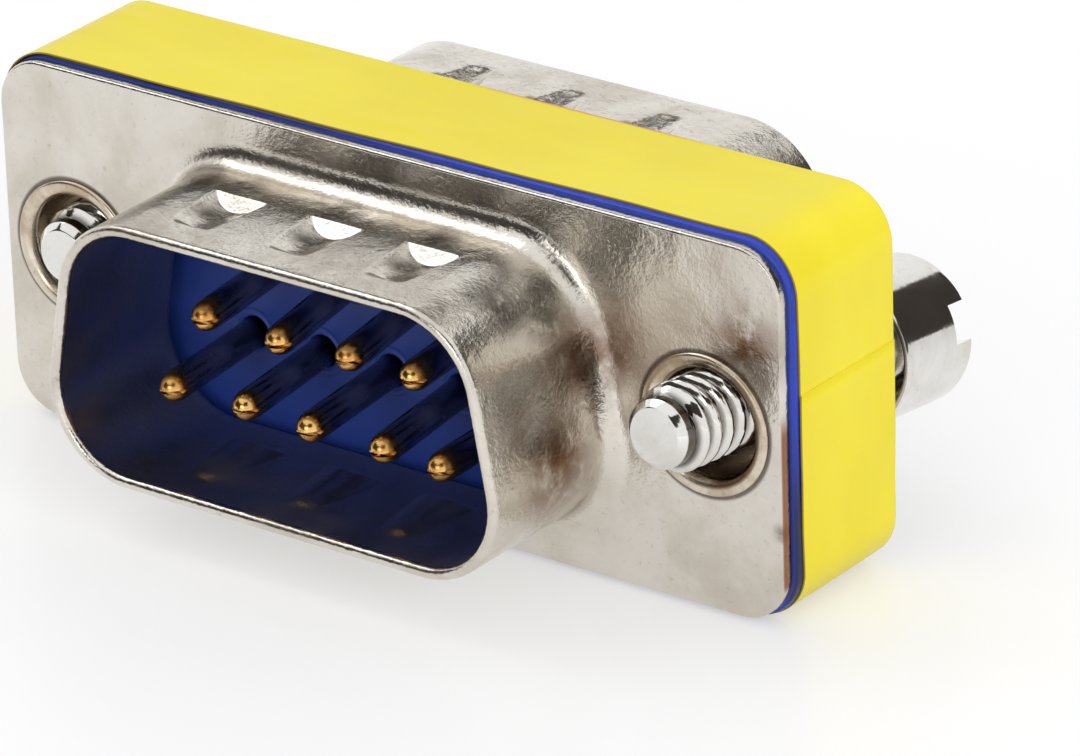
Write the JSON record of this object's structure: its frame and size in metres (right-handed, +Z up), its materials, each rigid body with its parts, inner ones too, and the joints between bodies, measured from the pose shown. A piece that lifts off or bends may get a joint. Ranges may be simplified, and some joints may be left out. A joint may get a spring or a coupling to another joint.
{
  "type": "d-sub adapter",
  "caption": "Low-profile D-sub gender changer with a plug on both faces, blue insulators, a yellow wrap label and two loose jackscrews with slotted threaded heads.",
  "frame": {"origin": "centre of the front plug on the front flange face", "axes": "+X along the flange towards the forward screw, +Y through the adapter towards the rear plug, +Z up from the long edge that it stands on"},
  "size_m": [0.0313, 0.0191, 0.013],
  "materials": {
    "nickel": "satin nickel plating on drawn steel",
    "blue_plastic": "satin moulded plastic",
    "yellow_film": "satin adhesive film",
    "eyelet_plate": "plated, drawn and rolled",
    "bright_plate": "bright nickel plating",
    "gold": "thin gold plating"
  },
  "bodies": {
    "adapter": {"front_shell": "nickel", "rear_shell": "nickel", "front_insulator": "blue_plastic", "rear_insulator": "blue_plastic", "wrap_label": "yellow_film", "left_eyelet": "eyelet_plate", "right_eyelet": "eyelet_plate", "contact_1": "gold", "contact_2": "gold", "contact_3": "gold", "contact_4": "gold", "contact_5": "gold", "contact_6": "gold", "contact_7": "gold", "contact_8": "gold", "contact_9": "gold"},
    "left_screw": {"left_jackscrew": "bright_plate"},
    "right_screw": {"right_jackscrew": "bright_plate"}
  },
  "joints": [
    {"name": "left_screw_turn", "type": "hinge", "parent": "adapter", "child": "left_screw", "pos_m": [-0.01249, 0.003, 0], "axis": [0, 1, 0], "continuous": true},
    {"name": "right_screw_turn", "type": "hinge", "parent": "adapter", "child": "right_screw", "pos_m": [0.01249, 0.003, 0], "axis": [0, 0.9936, -0.1126], "continuous": true}
  ]
}
